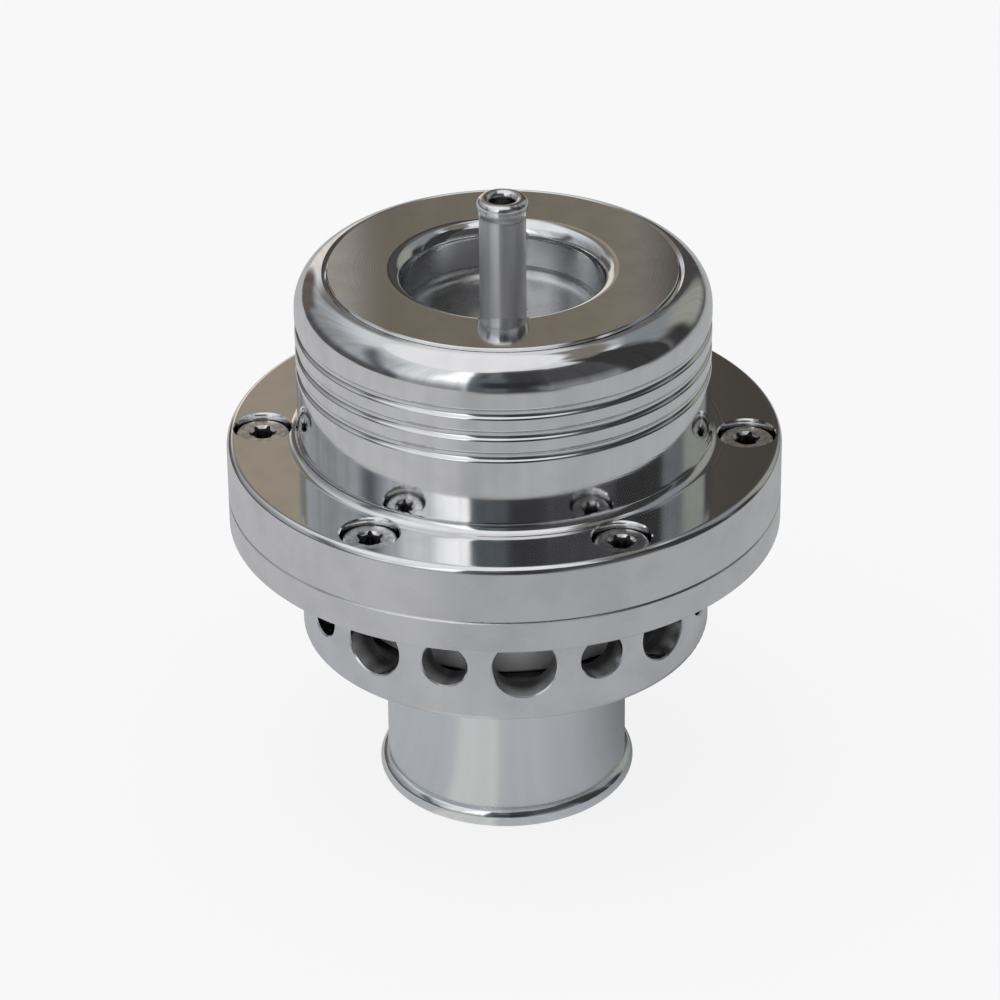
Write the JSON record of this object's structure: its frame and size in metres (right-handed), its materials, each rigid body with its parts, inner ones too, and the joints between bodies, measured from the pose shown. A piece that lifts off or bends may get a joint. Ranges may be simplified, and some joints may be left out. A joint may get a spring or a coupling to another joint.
{
  "type": "blow off valve",
  "caption": "Round piston-type blow off valve with a beaded inlet pipe, a ring of vent holes, bolted flanges, a grooved barrel and a vacuum hose nipple on top.",
  "frame": {"origin": "centre of the inlet pipe's end face, on which the valve stands", "axes": "+Z along the valve's axis from the inlet pipe to the vacuum nipple; large vent holes on +X, -X, +Y and -Y"},
  "size_m": [0.077, 0.077, 0.0902],
  "materials": {
    "housing_aluminium": "polished, with fine turning marks",
    "nipple_aluminium": "polished",
    "piston_aluminium": "turned satin",
    "screw_steel": "satin",
    "spring_steel": "bright drawn wire",
    "seal_rubber": "smooth",
    "guide_plastic": "smooth, filled with bronze"
  },
  "bodies": {
    "housing": {"lower_housing": "housing_aluminium", "upper_housing": "housing_aluminium", "top_ring": "housing_aluminium", "top_plug": "housing_aluminium", "vacuum_nipple": "nipple_aluminium", "plug_o_ring": "seal_rubber", "flange_o_ring": "seal_rubber", "valve_spring": "spring_steel", "flange_screw_1": "screw_steel", "flange_screw_2": "screw_steel", "flange_screw_3": "screw_steel", "flange_screw_4": "screw_steel", "flange_screw_5": "screw_steel", "flange_screw_6": "screw_steel"},
    "piston": {"piston": "piston_aluminium", "piston_seal_lower": "seal_rubber", "piston_guide_band": "guide_plastic", "piston_seal_upper": "seal_rubber", "seat_ring": "seal_rubber", "preload_shim": "screw_steel"}
  },
  "joints": [
    {"name": "piston_lift", "type": "slide", "parent": "housing", "child": "piston", "axis": [0, 0, 1], "range_m": [0, 0.008], "stiffness_N_per_m": 1900, "springref_m": -0.01, "deforming": ["valve_spring"]}
  ]
}
